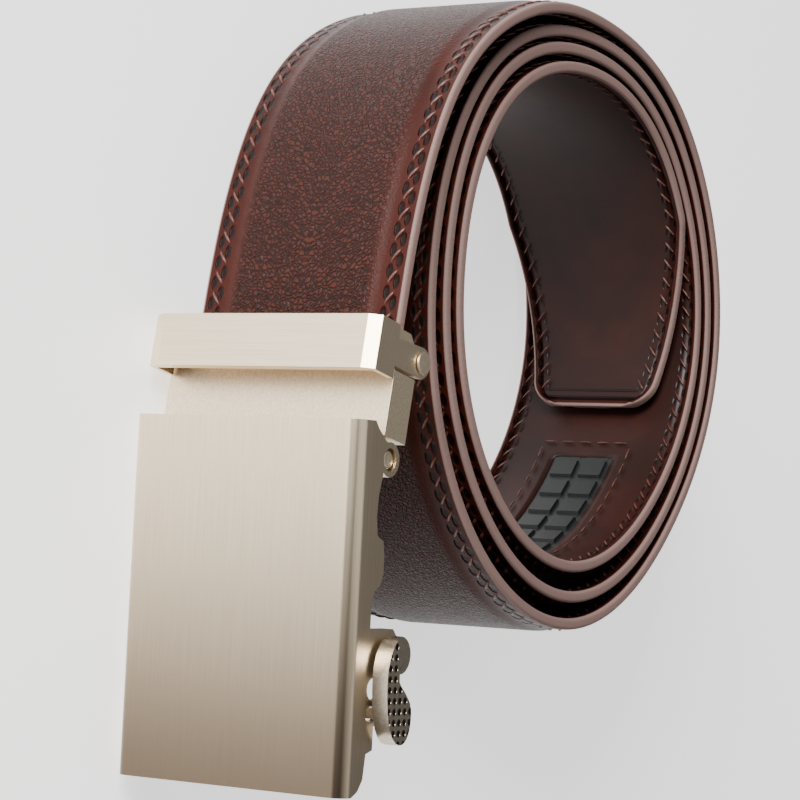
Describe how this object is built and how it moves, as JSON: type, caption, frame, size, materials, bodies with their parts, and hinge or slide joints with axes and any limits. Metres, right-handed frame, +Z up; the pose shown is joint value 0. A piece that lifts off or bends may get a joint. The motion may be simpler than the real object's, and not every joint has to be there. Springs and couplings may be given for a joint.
{
  "type": "ratchet belt",
  "caption": "Leather ratchet belt wound into a loose coil on its edges, with an automatic plate buckle, clamp and release lever on its outer end.",
  "frame": {"origin": "on the surface under the middle of the whole belt's bounding box", "axes": "+Z up along the coil's axis, +X along the buckle's face plate towards its free end, -Y out of the face plate's front"},
  "size_m": [0.124, 0.1302, 0.0441],
  "materials": {
    "strap_leather": "glossy pebbled brown leather with painted edges",
    "lining_leather": "smooth satin dark brown leather",
    "track_plastic": "matte black plastic",
    "brushed_nickel": "brushed champagne nickel plate",
    "lever_nickel": "satin champagne nickel plate with dimples",
    "pin_steel": "satin steel"
  },
  "bodies": {
    "root": {"strap": "strap_leather", "lining": "lining_leather", "ratchet_track": "track_plastic", "clamp_frame": "brushed_nickel", "lid_pin": "pin_steel", "hinge_pin": "pin_steel"},
    "lid": {"clamp_lid": "brushed_nickel"},
    "buckle": {"face_plate": "brushed_nickel", "pawl_pin": "pin_steel"},
    "lever": {"release_lever": "lever_nickel"}
  },
  "joints": [
    {"name": "lid_hinge", "type": "hinge", "parent": "root", "child": "lid", "pos_m": [0.0007, -0.0494, 0.0214], "axis": [0, 0, 1], "range_deg": [-25, 0]},
    {"name": "buckle_hinge", "type": "hinge", "parent": "root", "child": "buckle", "pos_m": [0.01489, -0.05671, 0.0214], "axis": [0, 0, 1], "range_deg": [-6, 35]},
    {"name": "release", "type": "hinge", "parent": "buckle", "child": "lever", "pos_m": [0.02969, -0.05901, 0.0214], "axis": [0, 0, 1], "range_deg": [-5, 0], "stiffness_Nm_per_rad": 0.05}
  ]
}
